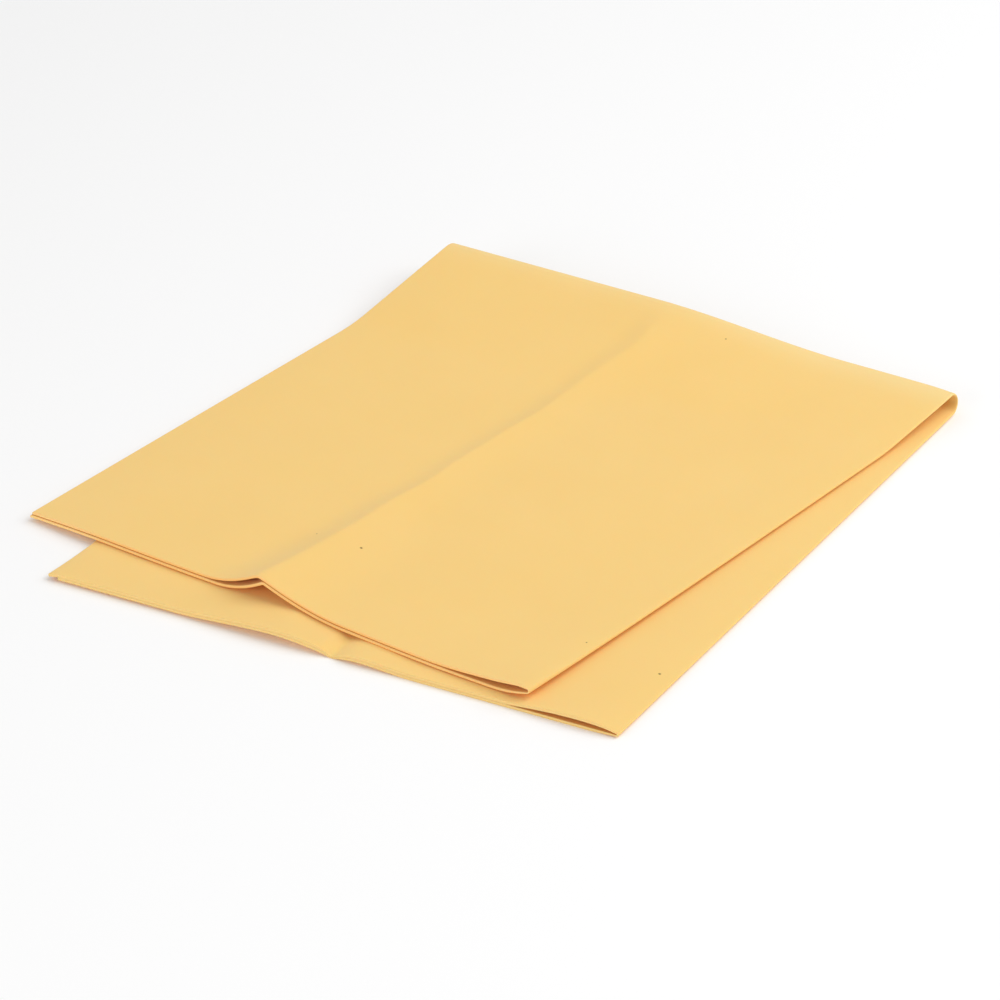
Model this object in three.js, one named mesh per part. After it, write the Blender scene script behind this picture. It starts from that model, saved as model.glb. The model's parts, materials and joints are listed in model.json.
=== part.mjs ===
// Synthetic chamois cloth, folded twice and laid flat.
//
// One rectangular sheet of soft non-woven cloth is doubled at a side fold, and the
// doubled strip is doubled again at a back fold that runs slightly askew. An opened
// third fold leaves a crease along the strip: a ridge in the upper half and a valley
// in the lower half. place(a, v) carries a point of the flat sheet to its place in the
// folded cloth, and every leaf and fold strip is a rectangle of the flat sheet.
// Millimetres, +Z up, Y to the back, the strip's free edge at -X.

import * as THREE from 'three';

// The sheet as it is cut
const SHEET_WIDTH = 440;
const SHEET_LENGTH = 540;
const THICKNESS = 1.1;

// Clearances between leaves and between the pieces of one leaf
const PLY_GAP = 0.3;
const HALVES_GAP = 0.4;
const SEAM_GAP = 0.3;

// Side fold: the inner ply is wider than the outer one, and the fold stands open at both fronts
const OVERHANG_LOWER_FRONT = 3.2;
const OVERHANG_UPPER_FRONT = 0.6;
const SIDE_FOLD_REACH = 8;
const OPENING_LOWER_FRONT = 1.65;
const OPENING_LOWER_RUN = 41;
const OPENING_UPPER_FRONT = 1.9;
const OPENING_UPPER_RUN = 45;
const OPENING_ALONG = 0.15;
const OPENING_FADE = 35;

// The upper half's side fold is lifted off the lower half at its front corner
const NOSE_LIFT = 2.3;
const NOSE_LIFT_RUN = 16;
const NOSE_LIFT_FADE = 70;

// Back fold: a loop that is taller at the free edge than at the side fold, and the slope from it
const BACK_FOLD_AT = 275.4;
const BACK_FOLD_SKEW_DEG = 3.74;
const LOOP_RADIUS_FREE_EDGE = 6.43;
const LOOP_RADIUS_SIDE_FOLD = 3.72;
const LOOP_NARROWS_FROM = -17;
const LOOP_NARROWS_TO = 63;
const SLOPE_FREE_EDGE_DEG = 9.8;
const SLOPE_SIDE_FOLD_DEG = 6.2;
const KNEE_RADIUS = 94;
const BACK_FOLD_STRIP_MARGIN = 1;

// Crease of the opened third fold, as distances from the outer ply's free edge
const CREASE_LOWER_FRONT = 109.1;
const CREASE_AT_BACK_FOLD = 100;
const CREASE_UPPER_FRONT = 102.9;
const CREASE_ROUNDING = 1.7;

// Ridge that the crease raises in the upper half, highest at the front edge
const RIDGE_FRONT = 7;
const RIDGE_ALONG = 1.5;
const RIDGE_FADE = 55;
const RIDGE_CREST_STEP = 2.3;
const RIDGE_LEFT_FRONT_OUTER = 23;
const RIDGE_LEFT_FRONT_INNER = 21.2;
const RIDGE_LEFT_ALONG = 10;
const RIDGE_RIGHT_FRONT = 35.4;
const RIDGE_RIGHT_ALONG = 18;
const RIDGE_END_FADE = 20;

// Arches beside the valley that the crease leaves in the lower half's front edge; the left one runs in
// under the ridge, as far as there is room for it
const ARCH_LEFT = 2.55;
const ARCH_LEFT_RUN = 63;
const ARCH_LEFT_DEPTH = 110;
const ARCH_ROOM_SHARE = 0.8;
const ARCH_ROOM_SLOPE = 0.15;
const ARCH_ROOM_ROUNDING = 0.4;
const ARCH_RIGHT = 1.1;
const ARCH_RIGHT_RUN = 30;
const ARCH_DEPTH = 24;
const CORNER_LIFT = 0.8;

// Upper half's front edge: the inner ply stands out, and the left side runs forward in a bow
const FRONT_STEP = 0.4;
const FRONT_LEAD = 2.15;
const FRONT_BOW = 1.9;
const DROOP = 1.35;
const DROOP_REACH = 34;
const DROOP_POWER = 1.5;

// Bumps that swell from 0 to 1 and end at 0 again: powers of their rise and of their fall
const TEARDROP = { rise: 1, fall: 2 };
const LOWER_NOSE = { rise: 0.6, fall: 1 };
const UPPER_NOSE = { rise: 0.5, fall: 2.5 };

// Mesh steps along and across the leaves and round the folds
const LEAF_STEPS_ACROSS = 8;
const LEAF_STEPS_ALONG = 11;
const SIDE_FOLD_FLAT_STEPS = 3;
const SIDE_FOLD_TURN_STEPS = 6;
const LOOP_STEPS = 12;
const SLOPE_STEPS = 6;
const BACK_FOLD_STEPS_ACROSS = 5;
const SPACING_POWER = 1.6;
const DIFFERENCE_STEP = 0.05;

const CLOTH_COLOUR = '#f3cf83';
const FOLD_COLOUR = '#efc274';

// Sizes that follow from those above
const SKEW = -THREE.MathUtils.degToRad(BACK_FOLD_SKEW_DEG);
const PLY_OFFSET = (THICKNESS + PLY_GAP) / 2;
const PAIR_HALF = PLY_OFFSET + THICKNESS / 2;
const LOWER_MIDDLE = PAIR_HALF;
const UPPER_MIDDLE = 3 * PAIR_HALF + HALVES_GAP;
const SIDE_FOLD_TURN = Math.PI * PLY_OFFSET;
const SIDE_FOLD_START = (SHEET_WIDTH - SIDE_FOLD_TURN - OVERHANG_LOWER_FRONT) / 2;
const STRIP_WIDTH = SIDE_FOLD_START + PLY_OFFSET;
const STRIP_MIDDLE = STRIP_WIDTH / 2;
const LEAF_END = SIDE_FOLD_START - SIDE_FOLD_REACH;
const SLOPE_FREE_EDGE = THREE.MathUtils.degToRad(SLOPE_FREE_EDGE_DEG);
const SLOPE_SIDE_FOLD = THREE.MathUtils.degToRad(SLOPE_SIDE_FOLD_DEG);
const LOOP_END = LOOP_RADIUS_FREE_EDGE * (Math.PI - 1 + SLOPE_FREE_EDGE);
const SLOPE_RUN = slopeLength(LOOP_RADIUS_FREE_EDGE, SLOPE_FREE_EDGE);
const SLOPE_END = LOOP_END + SLOPE_RUN + KNEE_RADIUS * SLOPE_FREE_EDGE;
const BACK_STRIP_START = -LOOP_RADIUS_FREE_EDGE - BACK_FOLD_STRIP_MARGIN;
const BACK_STRIP_END = SLOPE_END + BACK_FOLD_STRIP_MARGIN;
const LOOP_SHARE = (LOOP_END - BACK_STRIP_START) / (BACK_STRIP_END - BACK_STRIP_START);

const { clamp, lerp, smoothstep } = THREE.MathUtils;

// Bump over x from 0 to 1, with its peak of 1 where the rise and the fall balance
function bump(x, { rise, fall }) {
  if (x <= 0 || x >= 1) return 0;
  const peak = rise / (rise + fall);
  return (x / peak) ** rise * ((1 - x) / (1 - peak)) ** fall;
}

// Share of a shape that fades away from the upper half's front edge
function frontFade(v, run) {
  return Math.exp(-Math.max(SHEET_LENGTH - v, 0) / run);
}

// How far the inner ply passes the outer one at the free edge
function overhangAt(v) {
  return lerp(OVERHANG_UPPER_FRONT, OVERHANG_LOWER_FRONT, (1 - clamp(v / SHEET_LENGTH, 0, 1)) ** 2);
}

// Distance from a crease with its sharp turn rounded off
function roundedDistance(x) {
  return Math.hypot(x, CREASE_ROUNDING) - CREASE_ROUNDING;
}

// Place of the crease across the strip, at a length along the sheet
function creaseAt(v) {
  return v < BACK_FOLD_AT
    ? lerp(CREASE_LOWER_FRONT, CREASE_AT_BACK_FOLD, v / BACK_FOLD_AT)
    : lerp(CREASE_AT_BACK_FOLD, CREASE_UPPER_FRONT, (v - BACK_FOLD_AT) / (SHEET_LENGTH - BACK_FOLD_AT));
}

// Strip place to distances along the back fold and past its outermost line
function foldCoordinates(s, v) {
  const across = s - STRIP_MIDDLE;
  const along = v - BACK_FOLD_AT;
  return {
    p: across * Math.cos(SKEW) + along * Math.sin(SKEW),
    q: along * Math.cos(SKEW) - across * Math.sin(SKEW),
  };
}

// Length along the sheet at which the strip place s lies q past the back fold's line
function lengthAtFold(s, q) {
  return BACK_FOLD_AT + (q + (s - STRIP_MIDDLE) * Math.sin(SKEW)) / Math.cos(SKEW);
}

// Length of the straight slope between the loop and the knee
function slopeLength(radius, slope) {
  const drop = radius * (1 + Math.cos(slope)) + LOWER_MIDDLE - UPPER_MIDDLE;
  return (drop - KNEE_RADIUS * (1 - Math.cos(slope))) / Math.sin(slope);
}

// Section of the doubled strip square to the back fold: flat, a loop, a slope, a knee, flat.
// y is measured to the back from the fold's outermost line, and turn is the way run through.
function backFoldSection(p, q) {
  const narrowing = smoothstep(p, LOOP_NARROWS_FROM, LOOP_NARROWS_TO);
  const radius = lerp(LOOP_RADIUS_FREE_EDGE, LOOP_RADIUS_SIDE_FOLD, narrowing);
  const slope = lerp(SLOPE_FREE_EDGE, SLOPE_SIDE_FOLD, narrowing);
  const pastStart = q + radius;
  if (pastStart <= 0) return { y: q, z: LOWER_MIDDLE, turn: 0 };
  const turn = Math.min(pastStart / radius, Math.PI + slope);
  const loopY = radius * (Math.sin(turn) - 1);
  const loopZ = LOWER_MIDDLE + radius * (1 - Math.cos(turn));
  if (turn < Math.PI + slope) return { y: loopY, z: loopZ, turn };
  const pastLoop = pastStart - radius * turn;
  const straight = slopeLength(radius, slope);
  const run = Math.min(pastLoop, straight);
  const bent = clamp((pastLoop - straight) / KNEE_RADIUS, 0, slope);
  const flat = Math.max(pastLoop - straight - KNEE_RADIUS * slope, 0);
  const kneeY = KNEE_RADIUS * (Math.sin(slope) - Math.sin(slope - bent));
  const kneeZ = KNEE_RADIUS * (Math.cos(slope - bent) - Math.cos(slope));
  return {
    y: loopY - run * Math.cos(slope) - kneeY - flat,
    z: loopZ - run * Math.sin(slope) - kneeZ,
    turn: turn - bent,
  };
}

// Share of a ridge's height at a distance from its rounded crest, down a parabola to nothing at its width
function flank(distance, width) {
  return Math.max(1 - roundedDistance(distance) / width, 0) ** 2;
}

// Height that the crease adds to the upper half. The inner ply's crest lies a step right of the outer
// ply's, and right of it both plies fall as one.
function ridgeHeight(s, v, inner) {
  const fade = frontFade(v, RIDGE_FADE);
  const leftFront = inner ? RIDGE_LEFT_FRONT_INNER : RIDGE_LEFT_FRONT_OUTER;
  const left = lerp(RIDGE_LEFT_ALONG, leftFront, fade);
  const right = lerp(RIDGE_RIGHT_ALONG, RIDGE_RIGHT_FRONT, fade);
  const step = inner ? RIDGE_CREST_STEP * fade : 0;
  const side = s - creaseAt(v);
  const share = side < step ? flank(step, right) * flank(side - step, left) : flank(side, right);
  const ending = smoothstep(foldCoordinates(s, v).q, LOOP_END, LOOP_END + RIDGE_END_FADE);
  return lerp(RIDGE_ALONG, RIDGE_FRONT, fade) * share * ending;
}

// Room for the lower half to rise: most of the ridge that lies above it, and more past the front edge
function roomAbove(s, v) {
  const { p, q } = foldCoordinates(s, v);
  const above = backFoldSection(p, SLOPE_END).y + SLOPE_END - q;
  const length = BACK_FOLD_AT + p * Math.sin(SKEW) + above * Math.cos(SKEW);
  const ridge = ridgeHeight(STRIP_MIDDLE + p * Math.cos(SKEW) - above * Math.sin(SKEW), length, true);
  const inFront = Math.max(length - SHEET_LENGTH - FRONT_LEAD - FRONT_BOW, 0);
  return ARCH_ROOM_SHARE * ridge + ARCH_ROOM_SLOPE * inFront;
}

// Height that the arches beside the valley and the lifted corner add to the lower half
function archHeight(s, v) {
  const side = s - creaseAt(v);
  const reach = roundedDistance(side);
  const near = Math.max(1 - v / ARCH_DEPTH, 0) ** 2;
  if (side >= 0) return ARCH_RIGHT * bump(reach / ARCH_RIGHT_RUN, TEARDROP) * near;
  const deep = Math.max(1 - v / ARCH_LEFT_DEPTH, 0) ** 2;
  const arch = ARCH_LEFT * bump(reach / ARCH_LEFT_RUN, TEARDROP) * deep;
  const room = roomAbove(s, v);
  const lesser = Math.max((arch + room - Math.hypot(arch - room, ARCH_ROOM_ROUNDING)) / 2, 0);
  return lesser + CORNER_LIFT * smoothstep(reach, 0, ARCH_LEFT_RUN) * near;
}

// Sag of the upper half where it reaches past the lower half's free edge
function droop(x) {
  return DROOP * (Math.max(-STRIP_MIDDLE - x, 0) / DROOP_REACH) ** DROOP_POWER;
}

// Lift of the upper half's side fold, fading from its front corner
function noseLift(fromTip, v) {
  return NOSE_LIFT * Math.max(1 - fromTip / NOSE_LIFT_RUN, 0) ** 2 * frontFade(v, NOSE_LIFT_FADE);
}

// How far the two plies of each half stand apart near the side fold, beyond their usual gap
function lowerOpening(fromTip, v) {
  const height = lerp(OPENING_ALONG, OPENING_LOWER_FRONT, Math.exp(-v / OPENING_FADE));
  return height * bump(fromTip / OPENING_LOWER_RUN, LOWER_NOSE);
}

function upperOpening(fromTip, v) {
  const height = lerp(OPENING_ALONG, OPENING_UPPER_FRONT, frontFade(v, OPENING_FADE));
  return height * bump(fromTip / OPENING_UPPER_RUN, UPPER_NOSE);
}

// Flat sheet to strip: outer ply up to the side fold, half a turn, inner ply back again
function acrossFold(a) {
  const turn = clamp((a - SIDE_FOLD_START) / PLY_OFFSET, 0, Math.PI);
  const past = Math.max(a - SIDE_FOLD_START - SIDE_FOLD_TURN, 0);
  const s = Math.min(a, SIDE_FOLD_START) + PLY_OFFSET * Math.sin(turn) - past;
  return { s, offset: -PLY_OFFSET * Math.cos(turn), inner: turn > Math.PI / 2 };
}

// Point of the flat sheet, a across and v along, to the middle of the folded cloth there
function place(a, v) {
  const { s, offset, inner } = acrossFold(a);
  const { p, q } = foldCoordinates(s, v);
  const section = backFoldSection(p, q);
  const upperShare = smoothstep(section.turn, 0, Math.PI);
  const fromTip = STRIP_WIDTH - s;
  const opening = inner
    ? lowerOpening(fromTip, v) * (1 - upperShare)
    : -upperOpening(fromTip, v) * upperShare;
  const apart = offset + opening;
  const y = section.y - apart * Math.sin(section.turn);
  const x = p * Math.cos(SKEW) - y * Math.sin(SKEW);
  const added = section.turn < Math.PI / 2
    ? archHeight(s, v)
    : ridgeHeight(s, v, inner) + noseLift(fromTip, v) * upperShare - droop(x);
  return new THREE.Vector3(
    x,
    BACK_FOLD_AT + p * Math.sin(SKEW) + y * Math.cos(SKEW),
    section.z + added + apart * Math.cos(section.turn),
  );
}

// Direction square to the cloth, towards the inside of the doubled strip
function clothNormal(a, v) {
  const h = DIFFERENCE_STEP;
  const across = place(a + h, v).sub(place(a - h, v));
  const along = place(a, v + h).sub(place(a, v - h));
  return across.cross(along).normalize();
}

// Closed solid of one rectangle of the sheet. points[i][j] are flat places, i across, j along.
function clothSolid(points) {
  const rows = points.length;
  const columns = points[0].length;
  const positions = [];
  for (const face of [0.5, -0.5]) {
    for (const { a, v } of points.flat()) {
      const vertex = place(a, v).addScaledVector(clothNormal(a, v), face * THICKNESS);
      positions.push(vertex.x, vertex.y, vertex.z);
    }
  }
  const top = (i, j) => i * columns + j;
  const under = (i, j) => rows * columns + i * columns + j;
  const indices = [];
  const quad = (a, b, c, d) => indices.push(a, b, c, a, c, d);
  for (let i = 0; i < rows - 1; i += 1) {
    const { inner } = acrossFold(points[i][0].a);
    for (let j = 0; j < columns - 1; j += 1) {
      const above = [top(i, j), top(i + 1, j), top(i + 1, j + 1), top(i, j + 1)];
      const below = [under(i, j), under(i, j + 1), under(i + 1, j + 1), under(i + 1, j)];
      // Both plies split their cells along the same lines, so the gap between them stays even
      for (const corners of [above, below]) {
        if (inner) corners.push(corners.shift());
        quad(...corners);
      }
    }
    quad(top(i, 0), under(i, 0), under(i + 1, 0), top(i + 1, 0));
    quad(top(i + 1, columns - 1), under(i + 1, columns - 1), under(i, columns - 1), top(i, columns - 1));
  }
  for (let j = 0; j < columns - 1; j += 1) {
    quad(top(0, j + 1), under(0, j + 1), under(0, j), top(0, j));
    quad(top(rows - 1, j), under(rows - 1, j), under(rows - 1, j + 1), top(rows - 1, j + 1));
  }
  const geometry = new THREE.BufferGeometry();
  geometry.setAttribute('position', new THREE.Float32BufferAttribute(positions, 3));
  geometry.setIndex(indices);
  geometry.computeVertexNormals();
  return geometry;
}

// The two plies of the doubled strip: side is -1 outside and +1 inside the back fold
const OUTER_PLY = { side: -1, freeEdge: () => 0, flat: (s) => s };
const INNER_PLY = {
  side: 1,
  freeEdge: (v) => -overhangAt(v),
  flat: (s) => 2 * SIDE_FOLD_START + SIDE_FOLD_TURN - s,
};

const evenShares = (count) => Array.from({ length: count + 1 }, (_, i) => i / count);
const sharesCloseAtStart = (count) => evenShares(count).map((x) => x ** SPACING_POWER);
const sharesCloseAtEnd = (count) => evenShares(count).map((x) => 1 - (1 - x) ** SPACING_POWER);

// Front edge of the upper half, which leads on the left and bows forward
function upperFront(s, side) {
  const x = s / STRIP_WIDTH;
  return SHEET_LENGTH + side * FRONT_STEP / 2 + FRONT_LEAD * (1 - x) + FRONT_BOW * bump(x, TEARDROP);
}

// The three stretches of the sheet's length, with the names of the pieces in each
const STRETCHES = [
  {
    outer: 'bottom_leaf',
    inner: 'lower_inner_leaf',
    side: 'lower_side_fold',
    colour: CLOTH_COLOUR,
    start: () => 0,
    end: (s) => lengthAtFold(s, BACK_STRIP_START),
    alongShares: sharesCloseAtStart(LEAF_STEPS_ALONG),
    acrossSteps: LEAF_STEPS_ACROSS,
  },
  {
    outer: 'back_fold_outer',
    inner: 'back_fold_inner',
    side: 'back_fold_corner',
    colour: FOLD_COLOUR,
    start: (s) => lengthAtFold(s, BACK_STRIP_START) + SEAM_GAP,
    end: (s) => lengthAtFold(s, BACK_STRIP_END),
    alongShares: [
      ...evenShares(LOOP_STEPS).map((x) => x * LOOP_SHARE),
      ...evenShares(SLOPE_STEPS).slice(1).map((x) => lerp(LOOP_SHARE, 1, x)),
    ],
    acrossSteps: BACK_FOLD_STEPS_ACROSS,
  },
  {
    outer: 'top_leaf',
    inner: 'upper_inner_leaf',
    side: 'upper_side_fold',
    colour: CLOTH_COLOUR,
    start: (s) => lengthAtFold(s, BACK_STRIP_END) + SEAM_GAP,
    end: upperFront,
    alongShares: sharesCloseAtEnd(LEAF_STEPS_ALONG),
    acrossSteps: LEAF_STEPS_ACROSS,
  },
];

// Flat places of a leaf that runs across the strip from one line to another
function leafPoints(stretch, ply, from, to, acrossShares) {
  const points = acrossShares.map((f) => {
    const near = lerp(from(BACK_FOLD_AT), to(BACK_FOLD_AT), f);
    const start = stretch.start(near);
    const end = stretch.end(near, ply.side);
    return stretch.alongShares.map((g) => {
      const v = lerp(start, end, g);
      return { a: ply.flat(lerp(from(v), to(v), f)), v };
    });
  });
  return ply === INNER_PLY ? points.reverse() : points;
}

// Flat places of the strip that goes round the side fold
function sideFoldPoints(stretch) {
  const first = LEAF_END + SEAM_GAP / 2;
  const flats = evenShares(SIDE_FOLD_FLAT_STEPS).map((x) => lerp(first, SIDE_FOLD_START, x));
  const turns = evenShares(SIDE_FOLD_TURN_STEPS).slice(1, -1);
  const stations = [
    ...flats,
    ...turns.map((x) => SIDE_FOLD_START + x * SIDE_FOLD_TURN),
    ...flats.toReversed().map(INNER_PLY.flat),
  ];
  return stations.map((a) => {
    const { s, offset } = acrossFold(a);
    const start = stretch.start(s);
    const end = stretch.end(s, offset / PLY_OFFSET);
    return stretch.alongShares.map((g) => ({ a, v: lerp(start, end, g) }));
  });
}

const cloth = new THREE.Group();

function addPiece(name, colour, points) {
  const material = new THREE.MeshStandardMaterial({ color: colour, roughness: 0.95, metalness: 0 });
  const mesh = new THREE.Mesh(clothSolid(points), material);
  mesh.name = name;
  cloth.add(mesh);
}

// Every stretch has a left and a right leaf on each ply and one strip round the side fold
for (const stretch of STRETCHES) {
  for (const [ply, name] of [[OUTER_PLY, stretch.outer], [INNER_PLY, stretch.inner]]) {
    const leftOfCrease = (v) => creaseAt(v) - SEAM_GAP / 2;
    const rightOfCrease = (v) => creaseAt(v) + SEAM_GAP / 2;
    const leafEnd = () => LEAF_END - SEAM_GAP / 2;
    const leftShares = sharesCloseAtEnd(stretch.acrossSteps);
    const rightShares = sharesCloseAtStart(stretch.acrossSteps);
    const left = leafPoints(stretch, ply, ply.freeEdge, leftOfCrease, leftShares);
    const right = leafPoints(stretch, ply, rightOfCrease, leafEnd, rightShares);
    addPiece(`${name}_left`, stretch.colour, left);
    addPiece(`${name}_right`, stretch.colour, right);
  }
  addPiece(stretch.side, FOLD_COLOUR, sideFoldPoints(stretch));
}

// The origin is the middle of the cloth's box, on the surface that it lies on
const box = new THREE.Box3().setFromObject(cloth);
const middle = box.getCenter(new THREE.Vector3());
cloth.position.set(-middle.x, -middle.y, -box.min.z);

export default cloth;
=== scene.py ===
"""Synthetic chamois cloth, folded twice and laid flat on a pale table.

The cloth is one unbroken sheet. Every point of the flat sheet is carried to its place in the
folded cloth by one formula: a side fold doubles the sheet, a back fold doubles the strip, and
the crease of an opened third fold raises a ridge in the upper half.
"""

import json
import math

import bpy
import numpy as np
from bpy.props import FloatProperty, FloatVectorProperty, PointerProperty, StringProperty
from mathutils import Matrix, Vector


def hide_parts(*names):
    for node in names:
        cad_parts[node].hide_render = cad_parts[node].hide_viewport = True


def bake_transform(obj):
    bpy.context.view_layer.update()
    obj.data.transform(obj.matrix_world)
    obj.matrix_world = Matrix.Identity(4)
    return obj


bl_info = {
    "name": "Folded Chamois Cloth",
    "version": (1, 0, 0),
    "blender": (4, 5, 0),
    "location": "View3D > Sidebar > Chamois",
    "description": "Builds a folded synthetic chamois cloth and the table that it lies on",
    "category": "Object",
}

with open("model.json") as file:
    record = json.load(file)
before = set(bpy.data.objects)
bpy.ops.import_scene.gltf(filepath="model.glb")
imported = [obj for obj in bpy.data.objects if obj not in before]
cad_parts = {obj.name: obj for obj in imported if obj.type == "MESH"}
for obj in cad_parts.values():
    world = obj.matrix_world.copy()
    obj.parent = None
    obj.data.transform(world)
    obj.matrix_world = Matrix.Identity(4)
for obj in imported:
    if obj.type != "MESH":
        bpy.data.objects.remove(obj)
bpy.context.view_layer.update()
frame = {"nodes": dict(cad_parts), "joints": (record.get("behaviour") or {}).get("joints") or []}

MM = 0.001

# Reaches, radii, roundings and small heights along the front edges, folds and crease, in metres
OPENING_LOWER_RUN = 41 * MM
OPENING_UPPER_RUN = 45 * MM
OPENING_FADE = 35 * MM
OPENING_ALONG = 0.15 * MM
NOSE_LIFT_RUN = 16 * MM
NOSE_LIFT_FADE = 70 * MM
LOOP_NARROWS_FROM = -17 * MM
LOOP_NARROWS_TO = 63 * MM
KNEE_RADIUS = 94 * MM
CREST_ROUNDING_FRONT = 1.7 * MM
CREST_ROUNDING_ALONG = 0.8 * MM
CREST_ROUNDING_END = 3 * MM
CREASE_ROUNDING = 0.5 * MM
RIDGE_FADE = 55 * MM
RIDGE_END_FADE = 20 * MM
RIDGE_SOFT_RUN = 90 * MM
ARCH_LEFT_RUN = 63 * MM
ARCH_RIGHT_RUN = 30 * MM
ARCH_DEPTH = 24 * MM
ARCH_LEFT_DEPTH = 110 * MM
ARCH_ROOM_ROUNDING = 0.4 * MM
DROOP_REACH = 34 * MM
PRESS_REACH = 6 * MM
PINCH_ACROSS = 25 * MM
PINCH_ALONG = 9 * MM
PINCH_MIDDLE = 3 * MM
GROOVE_REACH = 4 * MM
GROOVE_FADE = 70 * MM
CORNER_LEAD_OUTER = 1.1 * MM
CORNER_LEAD_INNER = 1.6 * MM
CORNER_LEAD_FADE = 60 * MM
# Middle and reach, past the back fold's line, of the painted highlight outside the fold
PAINTED_HIGHLIGHT_MIDDLE = 7 * MM
PAINTED_HIGHLIGHT_RUN = 9 * MM

# Room for the left arch: share of the ridge above it, and rise for each metre in front of the ridge
ARCH_ROOM_SHARE = 0.9
ARCH_ROOM_SLOPE = 0.15

# Share of the sheet's length past the back fold at which the upper half lies flat
FLAT_PAST_FOLD = 0.25

# Power by which the droop grows with the overhang
DROOP_POWER = 1.5

# Turn of the back fold's section from which points open with it, and between which they join in
OPENS_FROM = math.pi / 4
JOINS_BETWEEN = (0.7, 1.4)

# Step of the central differences that give the normals
DIFFERENCE_STEP = 0.02 * MM

# Meander of the crease, which a hand has pressed in: height, wavelength and start of each wave
CREASE_WAVES = ((0.45 * MM, 61 * MM, 0.0), (0.3 * MM, 37 * MM, 1.0))

# Bend of the crease near the back: size, place past the back fold and reach
CREASE_BEND = 3.4 * MM
CREASE_BEND_AT = 41 * MM
CREASE_BEND_REACH = 15 * MM

# Bumps as powers of their rise and of their fall
TEARDROP = (1, 2)
LOWER_NOSE = (0.6, 1)
UPPER_NOSE = (0.5, 2.5)

# Grid lines of the mesh on each stretch of the sheet, and how they crowd towards a fold
LEFT_COLUMNS = 42
RIGHT_COLUMNS = 48
TURN_COLUMNS = 14
LOWER_ROWS = 84
LOOP_ROWS = 44
UPPER_ROWS = 96
CROWDING = 1.7

# Share of the stretch left of the crease at which one more column runs, close to the free edge
EDGE_COLUMN = 0.005

# Where along the sheet the cut edge changes from its lower form and colour to its upper ones; the change of
# colour is painted light
LOWER_EDGE_TO = 216 * MM
UPPER_EDGE_FROM = 324 * MM

# Rounding of the cut edge, and the angles of the lines that run round it
EDGE_BULGE_LOWER = 0.08 * MM
EDGE_BULGE_UPPER = 0.35 * MM
EDGE_ANGLES = np.radians([45, 0, -45])

# Height at which the inside face of the fold lies in the grain's space, apart from the outside face
INSIDE_PLACE = 1.0

# Noises of the felt: lumps of a real size, and number of finer layers
CLOUDS = {"Scale": 1 / (45 * MM), "Detail": 3.0}
WAVES = {"Scale": 1 / (40 * MM), "Detail": 1.0}
TUFTS = {"Scale": 1 / (0.5 * MM), "Detail": 3.0}
STREAKS = {"Scale": 1 / (3 * MM), "Detail": 2.0}
CUT_FIBRES = {"Scale": 1 / (0.4 * MM), "Detail": 2.0}

# How much finer the streaks of the combed nap are across the sheet than along it
STREAK_SCALE = (4, 1, 1)

# Heights of the surface's waves, its nap and its cut fibres, and how strongly the last two show
WAVE_HEIGHT = 1.2 * MM
NAP_RELIEF = {"Distance": 0.06 * MM, "Strength": 0.35}
CUT_FIBRE_RELIEF = {"Distance": 0.12 * MM, "Strength": 0.5}

# Looks of the nap, the cut edge and the table, apart from their colours
NAP_LOOK = {"Roughness": 0.95, "Specular IOR Level": 0.2, "Sheen Weight": 0.1, "Sheen Roughness": 0.6}
CUT_EDGE_LOOK = {"Roughness": 1.0, "Specular IOR Level": 0.1}
TABLE_LOOK = {"Roughness": 0.9}

# Light that enters the felt and comes out beside its entry, red further away than blue
SCATTER = {
    "Subsurface Weight": 0.25,
    "Subsurface Radius": (1.0, 0.5, 0.25),
    "Subsurface Scale": 0.8 * MM,
}

# Half the table's width in metres
TABLE_REACH = 3.0

# Light of the room, the backdrop that the camera sees, and bounces of light between the pale plies
WHITE = (1, 1, 1, 1)
SKY_LIGHT = 0.55
BACKDROP_LIGHT = 1.0
LIGHT_BOUNCES = 16

# Soft boxes: name, diameter in metres, watts and place
LAMPS = (
    ("key_light", 2.0, 25, (1.1, 0.7, 1.5)),
    ("front_fill", 1.2, 10, (-0.4, -1.7, 0.45)),
)

# Camera's sensor in millimetres, and how far it sees in metres
SENSOR_WIDTH = 36
CAMERA_REACH = 20

# Share of a fleck's radius within which it is fully dark
FLECK_CORE = 0.3

# Stray dark fibres in the felt: place on the flat sheet, across and along, and radius
FLECKS = (
    (113 * MM, 498.5 * MM, 0.65 * MM),
    (224.3 * MM, 40.5 * MM, 0.65 * MM),
    (214 * MM, 501.5 * MM, 0.4 * MM),
    (128.5 * MM, 294 * MM, 0.4 * MM),
    (93.5 * MM, 498.5 * MM, 0.35 * MM),
)


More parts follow.
